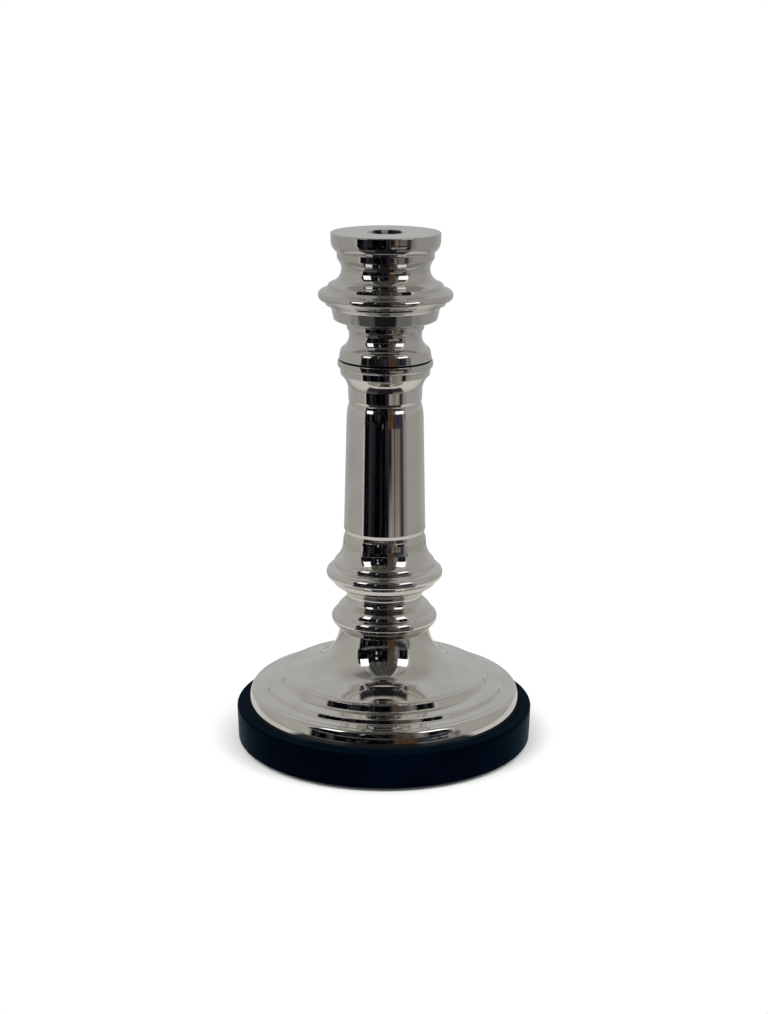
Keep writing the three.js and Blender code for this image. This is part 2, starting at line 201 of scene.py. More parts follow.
# Where the nickel's colour changes: darker towards the top, a painted shadow in the seam under the
# pedestal, and the candle hole's wall in painted shade, with light upright stripes of painted
# reflection on its far side
darkerTopAndPaintedLightPlaces = {
    "upperFrom": (222.0, 236.0),
    "seam": (235.2, 236.2),
    "seamRadius": 27.5,
    "seamSoft": 0.1,
    "holeFrom": 281.5,
    "holeRadius": 10.9,
    "holeSoft": (0.2, 0.1),  # along the axis, and outwards
    # Spans along x of the light upright stripes, painted reflections on the hole's far wall
    "uprights": [(-13.0, -7.4), (-2.6, 1.4), (8.7, 13.0)],
    "uprightSoft": 0.5,
    "farSideFrom": (0.0, 1.0),
}
darkerTopAndPaintedLightTints = {
    "upper": 0.80,
    "upperShare": 0.7,
    # Painted shadow in the seam under the pedestal
    "seam": (0.01, 0.01, 0.01, 1.0),
    # Painted shade on the candle hole's wall, and the colour of its painted reflections, the light
    # upright stripes
    "hole": (0.16, 0.16, 0.155, 1.0),
    "upright": (1.0, 1.0, 0.98, 1.0),
    "holeRoughness": (0.15, 0.6),  # between the uprights, and on them
}


def makeNickel(look, places, tints):
    material, tree, shader = newFinish("polishedNickel", Metallic=1.0)
    place = addNode(tree, "ShaderNodeTexCoord").outputs["Object"]
    x, y, z = addNode(tree, "ShaderNodeSeparateXYZ", {0: place}).outputs
    radius = fromAxis(tree, x, y)
    ring = addNode(tree, "ShaderNodeCombineXYZ", {0: radius, 1: z, 2: 0.0}).outputs[0]
    tarnish = remap(tree, noise(tree, place, look["tarnish"], detail=5.0), *look["tarnishLevels"])
    speck = remap(tree, cells(tree, place, look["specks"]), *look["speckEdge"], *look["speckTint"])
    plain = dimmed(tree, blendColour(tree, tarnish, look["bright"], look["dull"]), speck)

    # Darker towards the top
    upper = remap(tree, z, *(height * millimetre for height in places["upperFrom"]))
    upperTint = [channel * tints["upper"] for channel in look["bright"][:3]] + [1.0]
    darkerAbove = blendColour(tree, times(tree, upper, tints["upperShare"]), plain, upperTint)

    # Painted shadow: a near-black band in the seam under the pedestal, inside its outer edge
    soft = places["seamSoft"] * millimetre
    inSeam = window(tree, z, *(height * millimetre for height in places["seam"]), soft)
    widest = places["seamRadius"] * millimetre
    inward = remap(tree, radius, widest - 2 * soft, widest + 2 * soft, 1.0, 0.0)
    withSeamShadow = blendColour(tree, times(tree, inSeam, inward), darkerAbove, tints["seam"])

    # Painted shade on the candle hole's wall, with light upright stripes of painted reflection on its
    # far side
    softAlong, softOut = (size * millimetre for size in places["holeSoft"])
    floor, wall = places["holeFrom"] * millimetre, places["holeRadius"] * millimetre
    aboveFloor = remap(tree, z, floor - softAlong, floor + softAlong)
    inHole = times(tree, aboveFloor, remap(tree, radius, wall, wall + softOut, 1.0, 0.0))
    upright = 0.0
    for start, end in places["uprights"]:
        edges = (start * millimetre, end * millimetre, places["uprightSoft"] * millimetre)
        upright = plus(tree, upright, window(tree, x, *edges))
    farSide = remap(tree, y, *(distance * millimetre for distance in places["farSideFrom"]))
    upright = times(tree, upright, farSide)
    holeShadeAndReflection = blendColour(tree, upright, tints["hole"], tints["upright"])
    holeRough = remap(tree, upright, 0.0, 1.0, *tints["holeRoughness"])
    plug(tree, shader.inputs["Base Color"], blendColour(tree, inHole, withSeamShadow, holeShadeAndReflection))

    smears = plus(tree, noise(tree, ring, look["smears"], detail=3.0), look["leastSmear"])
    smeared = times(tree, tarnish, smears)
    rough = remap(tree, smeared, *look["roughLevels"], *look["roughness"], smooth=False)
    plug(tree, shader.inputs["Roughness"], plus(tree, rough, times(tree, inHole, holeRough)))
    lines = noise(tree, ring, look["turningLines"], detail=2.0)
    waves = noise(tree, place, look["waves"], detail=1.0)
    turned = relief(tree, lines, look["turningDepth"])
    plug(tree, shader.inputs["Normal"], relief(tree, waves, look["waveDepth"], Normal=turned))
    return material


lacquerLook = {
    "deep": (0.0001, 0.0007, 0.0028, 1.0),
    "worn": (0.0003, 0.0016, 0.0050, 1.0),
    "dust": (0.012, 0.018, 0.026, 1.0),
    "roughness": (0.24, 0.36),
    "roughLevels": (0.3, 0.75),
    "clouds": 36.0,
    "cloudLevels": (0.35, 0.7),
    "specks": 520.0,
    "speckEdge": (0.045, 0.09),
    "dustLevels": (0.52, 0.7),
    "grain": 540.0,
    "grainStretch": (0.12, 1.0, 1.0),
    "grainDepth": 0.00004,
    "grainStrength": 0.35,
}


def makeLacquer(look):
    material, tree, shader = newFinish(
        "blackLacquer",
        Specular_IOR_Level=0.003,
        Specular_Tint=(0.25, 0.65, 1.0, 1.0),
        Sheen_Weight=0.07,
        Sheen_Tint=(0.15, 0.62, 1.0, 1.0),
        Sheen_Roughness=0.35,
    )
    place = addNode(tree, "ShaderNodeTexCoord").outputs["Object"]
    cloud = noise(tree, place, look["clouds"], detail=4.0)
    tint = blendColour(tree, remap(tree, cloud, *look["cloudLevels"]), look["deep"], look["worn"])
    speck = remap(tree, cells(tree, place, look["specks"]), *look["speckEdge"], 1.0, 0.0)
    dusty = times(tree, speck, remap(tree, cloud, *look["dustLevels"]))
    plug(tree, shader.inputs["Base Color"], blendColour(tree, dusty, tint, look["dust"]))
    rough = remap(tree, cloud, *look["roughLevels"], *look["roughness"], smooth=False)
    plug(tree, shader.inputs["Roughness"], rough)
    stretched = addNode(tree, "ShaderNodeMapping", {"Vector": place, "Scale": look["grainStretch"]})
    grain = noise(tree, stretched.outputs[0], look["grain"], detail=6.0)
    plug(tree, shader.inputs["Normal"], relief(tree, grain, look["grainDepth"], look["grainStrength"]))
    return material


zincLook = {
    "bright": (0.62, 0.625, 0.63, 1.0),
    "dull": (0.42, 0.43, 0.44, 1.0),
    "roughness": (0.22, 0.48),
    "roughLevels": (0.3, 0.7),
    "crystals": 850.0,
    "clouds": 220.0,
    "levels": (0.1, 0.4),
    "depth": 0.00003,
    "strength": 0.5,
}


def makeZinc(look):
    material, tree, shader = newFinish("zincPlate", Metallic=1.0)
    place = addNode(tree, "ShaderNodeTexCoord").outputs["Object"]
    cloud = noise(tree, place, look["clouds"], detail=6.0)
    level = remap(tree, times(tree, cells(tree, place, look["crystals"]), cloud), *look["levels"])
    plug(tree, shader.inputs["Base Color"], blendColour(tree, level, look["bright"], look["dull"]))
    rough = remap(tree, cloud, *look["roughLevels"], *look["roughness"], smooth=False)
    plug(tree, shader.inputs["Roughness"], rough)
    plug(tree, shader.inputs["Normal"], relief(tree, cloud, look["depth"], look["strength"]))
    return material


feltLook = {
    "dark": (0.012, 0.0125, 0.013, 1.0),
    "light": (0.045, 0.046, 0.048, 1.0),
    "fibres": 1500.0,
    "curl": 1.5,
    "matting": 225.0,
    "leastMatting": 0.5,
    "levels": (0.3, 0.75),
    "depth": 0.00025,
    "strength": 0.9,
}


def makeFelt(look):
    material, tree, shader = newFinish(
        "blackFelt", Roughness=1.0, Specular_IOR_Level=0.15, Sheen_Weight=0.4, Sheen_Roughness=0.6
    )
    place = addNode(tree, "ShaderNodeTexCoord").outputs["Object"]
    fibre = noise(tree, place, look["fibres"], detail=6.0, Distortion=look["curl"])
    matted = plus(tree, noise(tree, place, look["matting"], detail=3.0), look["leastMatting"])
    height = times(tree, fibre, matted)
    level = remap(tree, height, *look["levels"])
    plug(tree, shader.inputs["Base Color"], blendColour(tree, level, look["dark"], look["light"]))
    plug(tree, shader.inputs["Normal"], relief(tree, height, look["depth"], look["strength"]))
    return material


nickel = makeNickel(nickelLook, darkerTopAndPaintedLightPlaces, darkerTopAndPaintedLightTints)
lacquer = makeLacquer(lacquerLook)
zinc = makeZinc(zincLook)
felt = makeFelt(feltLook)
print("finishes made")


# Turned pieces: a drawn half section goes round the Z axis
def newTree(name, inputs):
    tree = bpy.data.node_groups.new(name, "GeometryNodeTree")
    tree.is_modifier = True
    for label, kind in inputs:
        tree.interface.new_socket(name=label, in_out="INPUT", socket_type="NodeSocket" + kind)
    tree.interface.new_socket(name="Piece", in_out="OUTPUT", socket_type="NodeSocketGeometry")
    return tree, tree.nodes.new("NodeGroupInput").outputs


def endTree(tree, mesh, material):
    smooth = addNode(tree, "GeometryNodeSetShadeSmooth", {"Geometry": mesh})
    real = addNode(tree, "GeometryNodeRealizeInstances", {"Geometry": smooth.outputs[0]})
    values = {"Geometry": real.outputs[0], "Material": material}
    painted = addNode(tree, "GeometryNodeSetMaterial", values)
    addNode(tree, "NodeGroupOutput", {0: painted.outputs[0]})


def rowAndSide(tree, columns):
    index = addNode(tree, "GeometryNodeInputIndex").outputs[0]
    row = reckon(tree, "FLOOR", reckon(tree, "DIVIDE", plus(tree, index, 0.5), columns))
    return row, reckon(tree, "SUBTRACT", index, times(tree, row, columns))


def wrapGrid(tree, grid, position, weld, material):
    moved = addNode(tree, "GeometryNodeSetPosition", {"Geometry": grid, "Position": position})
    values = {"Geometry": moved.outputs[0], "Distance": weld}
    welded = addNode(tree, "GeometryNodeMergeByDistance", values)
    endTree(tree, welded.outputs[0], material)


def makeLatheTree():
    tree, given = newTree(
        "lathe",
        [("Half section", "Geometry"), ("Sides", "Int"), ("Weld", "Float"), ("Finish", "Material")],
    )
    drawn = given["Half section"]
    count = addNode(tree, "GeometryNodeAttributeDomainSize", {0: drawn}).outputs["Point Count"]
    columns = plus(tree, given["Sides"], 1.0)
    grid = addNode(tree, "GeometryNodeMeshGrid", {"Vertices X": count, "Vertices Y": columns})
    row, side = rowAndSide(tree, columns)
    angle = times(tree, reckon(tree, "DIVIDE", side, given["Sides"]), 2 * math.pi)
    where = addNode(tree, "GeometryNodeInputPosition").outputs[0]
    sample = addNode(
        tree, "GeometryNodeSampleIndex", {"Geometry": drawn, "Index": row}, data_type="FLOAT_VECTOR"
    )
    tree.links.new(where, next(s for s in sample.inputs if s.name == "Value" and s.enabled))
    corner = next(s for s in sample.outputs if s.enabled)
    turn = addNode(
        tree, "ShaderNodeVectorRotate", {"Vector": corner, "Angle": angle}, rotation_type="Z_AXIS"
    )
    wrapGrid(tree, grid.outputs[0], turn.outputs[0], given["Weld"], given["Finish"])
    return tree


def bake(name, mesh, tree, values):
    made = bpy.data.objects.new(name, mesh)
    scene.collection.objects.link(made)
    modifier = made.modifiers.new(tree.name, "NODES")
    modifier.node_group = tree
    for item in tree.interface.items_tree:
        if item.in_out == "INPUT" and item.name in values:
            modifier[item.identifier] = values[item.name]
    bpy.context.view_layer.update()
    shown = made.evaluated_get(bpy.context.evaluated_depsgraph_get())
    finished = bpy.data.meshes.new_from_object(shown)
    made.modifiers.clear()
    made.data = finished
    return made


weldDistance = 0.002 * millimetre


def tidyMesh(piece, openEnds=False):
    shell = bmesh.new()
    shell.from_mesh(piece.data)
    if openEnds:
        rims = [edge for edge in shell.edges if edge.is_boundary]
        bmesh.ops.holes_fill(shell, edges=rims, sides=0)
    bmesh.ops.remove_doubles(shell, verts=shell.verts, dist=weldDistance / 2)
    bmesh.ops.recalc_face_normals(shell, faces=shell.faces)
    shell.to_mesh(piece.data)
    shell.free()


# Drawing a half section
def arcStroke(start, end, swell, finest=3.0):
    if not swell:
        return [start, end]
    halfChord = (end - start).length / 2
    turn = 4 * math.atan(swell / halfChord)
    arcRadius = halfChord / math.sin(turn / 2)
    along = (end - start).normalized()
    outward = Vector((along.y, -along.x))
    steps = max(3, math.ceil(abs(math.degrees(turn)) / finest))
    stroke = [start]
    for step in range(1, steps):
        angle = (step / steps - 0.5) * turn
        off = arcRadius * (math.cos(angle) - math.cos(turn / 2))
        stroke.append((start + end) / 2 + along * arcRadius * math.sin(angle) + outward * off)
    return stroke + [end]


def drawStrokes(start, stretches):
    strokes, here = [], Vector(start)
    for radius, rise, *swell in stretches:
        there = Vector((radius, here.y + rise))
        strokes.append(arcStroke(here, there, swell[0] if swell else 0))
        here = there
    return strokes


def strokeLength(stroke):
    return sum((b - a).length for a, b in zip(stroke, stroke[1:]))


def cutStart(stroke, distance):
    left = distance
    for i, (a, b) in enumerate(zip(stroke, stroke[1:])):
        span = (b - a).length
        if left < span:
            return [a.lerp(b, left / span)] + stroke[i + 1 :]
        left -= span
    return stroke[-1:]


def cutEnd(stroke, distance):
    return cutStart(stroke[::-1], distance)[::-1]


# How an arris is rounded
arrisSizes = {
    "flattest": 7.0,  # a slighter bend stays as it is
    "sharpest": 2.4,  # in radians
    "share": 0.38,  # of the shorter face beside it
    "step": 14.0,
    "guard": 0.12,  # close points beside it keep the faces next to it true
    "closest": 0.002,
}


def softSection(strokes, softness, closed, s=arrisSizes):
    # Rounds every arris as polishing does
    count = len(strokes)
    bends = []
    for i in range(count if closed else count - 1):
        before, after = strokes[i], strokes[(i + 1) % count]
        turn = (before[-1] - before[-2]).angle(after[1] - after[0], 0.0)
        room = s["share"] * min(strokeLength(before), strokeLength(after))
        reach = softness * math.tan(min(turn, s["sharpest"]) / 2)
        cut = min(reach, room) if turn > math.radians(s["flattest"]) else 0.0
        bends.append((cut, turn, before[-1]))
    if not closed:
        bends.append((0.0, 0.0, None))
    points = []
    for i, stroke in enumerate(strokes):
        cut, turn, corner = bends[i]
        trimmed = cutEnd(cutStart(stroke, bends[i - 1][0]), cut)
        if strokeLength(trimmed) > 4 * s["guard"]:
            inner = cutEnd(cutStart(trimmed, s["guard"]), s["guard"])
            trimmed = [trimmed[0]] + inner + [trimmed[-1]]
        points += trimmed
        if cut > 0:
            nextStart = cutStart(strokes[(i + 1) % count], cut)[0]
            steps = max(2, math.ceil(math.degrees(turn) / s["step"]))
            for step in range(1, steps):
                t = step / steps
                points.append(trimmed[-1] * (1 - t) ** 2 + corner * 2 * t * (1 - t) + nextStart * t**2)
    if closed:
        points.append(points[0].copy())
    kept = points[:1]
    for point in points[1:]:
        if (point - kept[-1]).length > s["closest"]:
            kept.append(point)
    return kept


lathe = makeLatheTree()


def turnPiece(name, strokes, sides, finish, softness=0.3, closed=True):
    points = softSection(strokes, softness, closed)
    mesh = bpy.data.meshes.new(name + "Section")
    corners = [(p.x * millimetre, 0.0, p.y * millimetre) for p in points]
    mesh.from_pydata(corners, [(i, i + 1) for i in range(len(corners) - 1)], [])
    piece = bake(name, mesh, lathe, {"Sides": sides, "Weld": weldDistance, "Finish": finish})
    tidyMesh(piece)
    return piece


def heightAfter(base, sizes, last):
    height = base
    for name, stretch in sizes.items():
        height += stretch[1]
        if name == last:
            break
    return height


def present(piece, slotName, *nodes):
    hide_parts(*nodes)
    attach(piece, "root")
    print(piece.name, "made:", len(piece.data.polygons), "faces")


# What every casting shares: a bore, a spigot on top and a recess below that takes one
jointSizes = {
    "bore": 14.5,
    "spigot": 17.5,
    "spigotHeight": 3.0,
    "chamfer": 0.5,
    "recess": 17.8,
    "recessDepth": 3.3,
}


def spigotStretches(j=jointSizes):
    return [
        (j["spigot"], 0),
        (j["spigot"], j["spigotHeight"] - j["chamfer"]),
        (j["spigot"] - j["chamfer"], j["chamfer"]),
        (j["bore"], 0),
    ]


def boreStretches(seat, top, seatRadius, j=jointSizes):
    return [
        (j["bore"], seat + j["recessDepth"] - top - j["spigotHeight"]),
        (j["recess"], 0),
        (j["recess"], -j["recessDepth"]),
        (seatRadius, 0),
    ]


# Black wooden disc
discSizes = {
    "foot": 2.0,
    "thickness": 21.0,
    "topRadius": 90.0,
    "footRadius": 89.4,
    "topRound": 1.4,
    "bottomRound": 1.0,
    "rodHole": 4.5,
    "counterbore": 15.0,
    "counterboreDepth": 13.0,
    "softness": 0.25,
    "sides": 192,
}


def makeDisc(s):
    quarter = 1 - math.sqrt(0.5)  # the swell of a quarter round, for a radius of 1
    wall = s["thickness"] - s["topRound"] - s["bottomRound"]
    stretches = [
        (s["footRadius"], s["bottomRound"], s["bottomRound"] * quarter),
        (s["topRadius"], wall),
        (s["topRadius"] - s["topRound"], s["topRound"], s["topRound"] * quarter),
        (s["rodHole"], 0),
        (s["rodHole"], s["counterboreDepth"] - s["thickness"]),
        (s["counterbore"], 0),
        (s["counterbore"], -s["counterboreDepth"]),
        (s["footRadius"] - s["bottomRound"], 0),
    ]
    strokes = drawStrokes((s["footRadius"] - s["bottomRound"], s["foot"]), stretches)
    return turnPiece("lacqueredDisc", strokes, s["sides"], lacquer, s["softness"])


present(makeDisc(discSizes), "lacquered_wood", "base_disc")
discTop = discSizes["foot"] + discSizes["thickness"]

# Castings, from the foot up. A stretch is (radius, rise), with a swell where it is curved
footProfile = {
    "lip": (82.8, 0.9),
    "thirdFace": (81.3, 7.5, 0.3),
    "thirdCorner": (79.7, 2.0, 0.2),
    "ledge": (77.7, 0.2),
    "ring": (77.3, 0.4),
    "thirdTread": (73.2, 0.9),
    "secondFoot": (72.7, 0.3),
    "secondFace": (71.8, 2.0),
    "secondCorner": (70.9, 0.5),
    "secondTread": (63.9, 1.0),
    "firstFoot": (63.4, 0.3),
    "firstFace": (61.9, 3.2),
    "firstCorner": (61.0, 0.8),
    "firstTread": (60.0, 0.0),
    "quirk": (59.2, -0.3),
    "dishEdge": (57.8, 0.8),
    "dish": (43.6, 3.8, -0.4),
    "flare": (28.5, 16.7, -2.4),
    "neck": (26.9, 6.4, -0.1),
}
footSizes = {
    "lipRadius": 82.9,
    "rimWidth": 5.5,
    "wall": 3.5,
    "throatRise": 7.5,
    "sides": 192,
}


def makeFoot(profile, s, seat):
    top = heightAfter(seat, profile, "neck")
    roofs = [
        (jointSizes["bore"], heightAfter(seat, profile, "dish") - s["wall"] + s["throatRise"]),
        (profile["dish"][0], heightAfter(seat, profile, "dish") - s["wall"]),
        (profile["secondTread"][0], heightAfter(seat, profile, "secondTread") - s["wall"]),
        (profile["thirdTread"][0], heightAfter(seat, profile, "thirdCorner") - s["wall"]),
        (s["lipRadius"] - s["rimWidth"], heightAfter(seat, profile, "thirdCorner") - s["wall"]),
        (s["lipRadius"] - s["rimWidth"], seat),
        (s["lipRadius"], seat),
    ]
    stretches = list(profile.values()) + spigotStretches()
    here = top + jointSizes["spigotHeight"]
    for radius, height in roofs:
        stretches.append((radius, height - here))
        here = height
    strokes = drawStrokes((s["lipRadius"], seat), stretches)
    return turnPiece("footCasting", strokes, s["sides"], nickel), top


def makeCasting(name, profile, seatRadius, seat, sides=128):
    top = seat + sum(stretch[1] for stretch in profile.values())
    stretches = list(profile.values()) + spigotStretches() + boreStretches(seat, top, seatRadius)
    return turnPiece(name, drawStrokes((seatRadius, seat), stretches), sides, nickel), top


lowerKnopProfile = {
    "underside": (29.6, 3.3),
    "torus": (30.3, 7.3, 1.9),
    "quirk": (28.8, 1.0),
    "quarterRound": (25.5, 4.7, 0.5),
    "fillet": (24.7, 0.8),
    "cove": (23.0, 5.9, -1.0),
}
upperKnopProfile = {
    "waist": (23.0, 1.5),
    "underside": (30.6, 4.5, 0.4),
    "fillet": (31.3, 2.5),
    "torusFoot": (33.3, 0.7),
    "torus": (31.5, 6.9, 2.5),
    "quirk": (30.4, 0.9),
    "quarterRound": (28.9, 4.0, 0.6),
    "trumpet": (24.85, 10.6, -1.0),
    "upright": (24.7, 2.5),
    "lip": (24.15, 1.5),
}
columnProfile = {
    "foot": (23.95, 0.7),
    "quirk": (23.6, 1.5),
    "heel": (24.4, 2.2),
    "shaft": (22.9, 65.1),
    "shoulder": (22.2, 8.5, 0.15),
    "lip": (21.6, 1.7),
    "neck": (21.45, 1.6),
    "groove": (21.15, 0.4),
}
collarProfile = {
    "groove": (21.75, 1.6),
    "neck": (21.95, 6.7),
    "cavetto": (26.3, 7.9, -0.8),
    "fillet": (26.7, 3.9),
    "beadFoot": (27.9, 0.9),
    "bead": (28.0, 3.4, 0.2),
    "seat": (26.6, 0.6),
}
pedestalProfile = {
    "wallFoot": (27.3, 0.6),
    "wall": (26.6, 4.1),
    "shoulder": (25.5, 2.3, 0.2),
    "lowerCove": (21.3, 7.3, -1.1),
    "upperCove": (21.9, 3.2, -0.1),
    "filletFoot": (22.7, 1.0),
    "fillet": (22.7, 2.8),
}
cupProfile = {
    "underside": (24.2, 0.6),
    "drumFoot": (30.3, 2.0, 0.4),
    "drum": (31.8, 6.4),
    "cavetto": (35.1, 2.4, -0.4),
    "fillet": (35.6, 1.3),
    "torusFoot": (37.2, 1.1),
    "torus": (36.2, 5.8, 2.8),
    "coveFilletFoot": (34.3, 1.5),
    "coveFillet": (33.4, 1.9),
    "coveFoot": (32.3, 0.6),
    "lowerCove": (25.9, 9.5, -2.1),
    "upperCove": (28.2, 4.7, -0.3),
    "rimFilletFoot": (28.4, 0.6),
    "rimFillet": (28.5, 3.4),
    "roundFoot": (29.5, 0.7),
    "quarterRound": (32.0, 6.4, 0.75),
    "rimWall": (32.1, 3.6),
    "rimEdge": (31.6, 0.5),
}
cupSizes = {
    "seatRadius": 22.7,
    "candleHole": 10.75,
    "candleHoleEdge": 0.3,
    "candleHoleDepth": 28.0,
    "thread": 4.3,
    "threadDepth": 18.0,
    "sides": 128,
}


def makeCup(profile, s, seat):
    j = jointSizes
    top = seat + sum(stretch[1] for stretch in profile.values())
    floor = seat + j["recessDepth"]
    start = (0.0, floor + s["threadDepth"])
    stretches = [
        (s["thread"], 0),
        (s["thread"], -s["threadDepth"]),
        (j["recess"], 0),
        (j["recess"], -j["recessDepth"]),
        (s["seatRadius"], 0),
        *profile.values(),
        (s["candleHole"] + s["candleHoleEdge"], 0),
        (s["candleHole"], -s["candleHoleEdge"]),
        (s["candleHole"], s["candleHoleEdge"] - s["candleHoleDepth"]),
        (0.0, 0),
    ]
    return turnPiece("candleCup", drawStrokes(start, stretches), s["sides"], nickel, closed=False), top


footPiece, footTop = makeFoot(footProfile, footSizes, discTop)
present(footPiece, "nickel", "foot_casting")
seat, seatRadius = footTop, footProfile["neck"][0]
for name, node, profile in (
    ("lowerKnop", "lower_knop", lowerKnopProfile),
    ("upperKnop", "upper_knop", upperKnopProfile),
    ("columnShaft", "column", columnProfile),
    ("neckCollar", "neck_collar", collarProfile),
    ("cupPedestal", "cup_pedestal", pedestalProfile),
):
    casting, nextSeat = makeCasting(name, profile, seatRadius, seat)
    present(casting, "nickel", node)
    seat, seatRadius = nextSeat, list(profile.values())[-1][0]
cupPiece, cupTop = makeCup(cupProfile, cupSizes, seat)
present(cupPiece, "nickel", "candle_cup")
print("castings end at", round(cupTop, 3), "mm")

# Felt pads in a ring
padSizes = {
    "count": 4,
    "radius": 10.0,
    "thickness": 2.0,
    "ring": 75.0,
    "softness": 0.5,
    "sides": 48,
}


def makePadTree():
    tree, given = newTree(
        "ringOfPads",
        [("Pad", "Geometry"), ("Count", "Int"), ("Ring radius", "Float"), ("Finish", "Material")],
    )
    sizes = {"Vertices": given["Count"], "Radius": given["Ring radius"]}
    ring = addNode(tree, "GeometryNodeMeshCircle", sizes)
    half = reckon(tree, "DIVIDE", math.pi, given["Count"])
    angle = addNode(tree, "ShaderNodeCombineXYZ", {2: half}).outputs[0]
    turned = addNode(tree, "GeometryNodeTransform", {"Geometry": ring.outputs[0], "Rotation": angle})
    placed = {"Points": turned.outputs[0], "Instance": given["Pad"]}
    copies = addNode(tree, "GeometryNodeInstanceOnPoints", placed)
    endTree(tree, copies.outputs[0], given["Finish"])
    return tree


def makePads(s):
    stretches = [(s["radius"], 0), (s["radius"], s["thickness"]), (0.0, 0)]
    strokes = drawStrokes((0.0, 0.0), stretches)
    pad = turnPiece("onePad", strokes, s["sides"], felt, softness=s["softness"], closed=False)
    values = {"Count": s["count"], "Ring radius": s["ring"] * millimetre, "Finish": felt}
    ring = bake("feltPads", pad.data.copy(), makePadTree(), values)
    bpy.data.objects.remove(pad)
    tidyMesh(ring)
    return ring


present(makePads(padSizes), "felt", *(f"felt_pad_{i + 1}" for i in range(padSizes["count"])))

# Tie rod with a rolled thread at each end
rodSizes = {
    "foot": 3.2,
    "top": 276.3,
    "radius": 4.0,
    "pitch": 1.25,
    "threadDepth": 0.6,
    "flank": (0.06, 0.44),  # in pitches, from the root's flat to the crest's
    "chamfer": 1.0,  # along the rod, at each end
    "chamferCut": 1.15,  # in thread depths
    "rowsPerPitch": 8,
    "sides": 32,
}


def makeRodTree(flank):
    sizes = ("Foot", "Length", "Radius", "Pitch", "Thread depth", "Chamfer", "Chamfer cut")
    inputs = [("Core", "Geometry"), ("Rows", "Int"), ("Sides", "Int")]
    inputs += [(name, "Float") for name in sizes] + [("Finish", "Material")]
    tree, given = newTree("threadedRod", inputs)
    columns = plus(tree, given["Sides"], 1.0)
    grid = addNode(tree, "GeometryNodeMeshGrid", {"Vertices X": given["Rows"], "Vertices Y": columns})
    row, side = rowAndSide(tree, columns)
    turns = reckon(tree, "DIVIDE", side, given["Sides"])
    along = reckon(tree, "DIVIDE", row, reckon(tree, "SUBTRACT", given["Rows"], 1.0))
    rise = times(tree, along, given["Length"])
    # The thread's height above its root is a steady zigzag along the helix
    phase = reckon(tree, "SUBTRACT", reckon(tree, "DIVIDE", rise, given["Pitch"]), turns)
    zigzag = reckon(tree, "PINGPONG", phase, 0.5)
    threadCut = remap(tree, zigzag, *flank, 1.0, 0.0, smooth=False)
    nearEnd = reckon(tree, "MINIMUM", rise, reckon(tree, "SUBTRACT", given["Length"], rise))
    endCut = remap(tree, nearEnd, 0.0, given["Chamfer"], given["Chamfer cut"], 0.0, smooth=False)
    cutAway = times(tree, reckon(tree, "MAXIMUM", threadCut, endCut), given["Thread depth"])
    radius = reckon(tree, "SUBTRACT", given["Radius"], cutAway)
    angle = times(tree, turns, 2 * math.pi)
    corner = {
        0: times(tree, radius, reckon(tree, "COSINE", angle)),
        1: times(tree, radius, reckon(tree, "SINE", angle)),
        2: plus(tree, given["Foot"], rise),
    }
    place = addNode(tree, "ShaderNodeCombineXYZ", corner).outputs[0]
    wrapGrid(tree, grid.outputs[0], place, weldDistance, given["Finish"])
    return tree


def makeRod(s):
    length = s["top"] - s["foot"]
    values = {
        "Rows": round(length / s["pitch"] * s["rowsPerPitch"]) + 1,
        "Sides": s["sides"],
        "Foot": s["foot"] * millimetre,
        "Length": length * millimetre,
        "Radius": s["radius"] * millimetre,
        "Pitch": s["pitch"] * millimetre,
        "Thread depth": s["threadDepth"] * millimetre,
        "Chamfer": s["chamfer"] * millimetre,
        "Chamfer cut": s["chamferCut"],
        "Finish": zinc,
    }
    rod = bake("tieRod", bpy.data.meshes.new("rodCore"), makeRodTree(s["flank"]), values)
    tidyMesh(rod, openEnds=True)
    return rod


present(makeRod(rodSizes), "zinc_steel", "tie_rod")

# The washers and the nut, deep in the disc's counterbore, keep their plain shape
for nodeName in ("flat_washer", "spring_washer", "hex_nut"):
    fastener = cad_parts[nodeName]
    fastener.data.materials.clear()
    fastener.data.materials.append(zinc)
print("fasteners finished")


# Studio: a pale tent that is open and dark towards the camera. Azimuths are counted from the camera's
# side, to the right.
studioLook = {
    "plainLevel": 0.78,  # of the even light on matt pieces
    "leftWall": (0.461, 0.453, 0.429, 1.0),
    "rightWall": (0.415, 0.410, 0.386, 1.0),
    "rightWallFrom": (-60.0, 60.0),
    "ceiling": (0.37, 0.36, 0.34, 1.0),
    "ceilingFrom": (38.0, 58.0),
    "back": (0.50, 0.505, 0.505, 1.0),
    "backFrom": (105.0, 160.0),
    "lowWall": 0.9,  # how bright the walls are below the horizon
    "lowWallTo": (-5.0, -1.0),
    "crown": (0.10, 0.102, 0.10, 1.0),
    "crownFrom": (77.0, 83.0),
    "opening": [((-66, 58), (10, 44)), ((-62, 58), (-60, 10))],  # its lower part is a little narrower
    "openingSoft": 1.5,
}
# The room beyond the opening: dim things in it, and upright folds that vary all that hangs before it
roomLook = {
    "dark": (0.0065, 0.0065, 0.0095),
    "things": 0.13,  # to the degree
    "thingShift": 4.0,
    "thingLevels": (0.46, 0.74),
    "thingStrength": (0.1, 4.0),
    "folds": 0.17,  # to the degree
    "foldFlatness": 0.22,
    "foldLevels": (0.34, 0.68),
    "foldStrength": (0.55, 1.7),
    "foldSpan": ((-66, 67), (-60, 79)),
    "foldSoft": (1.5, 3.0),
}
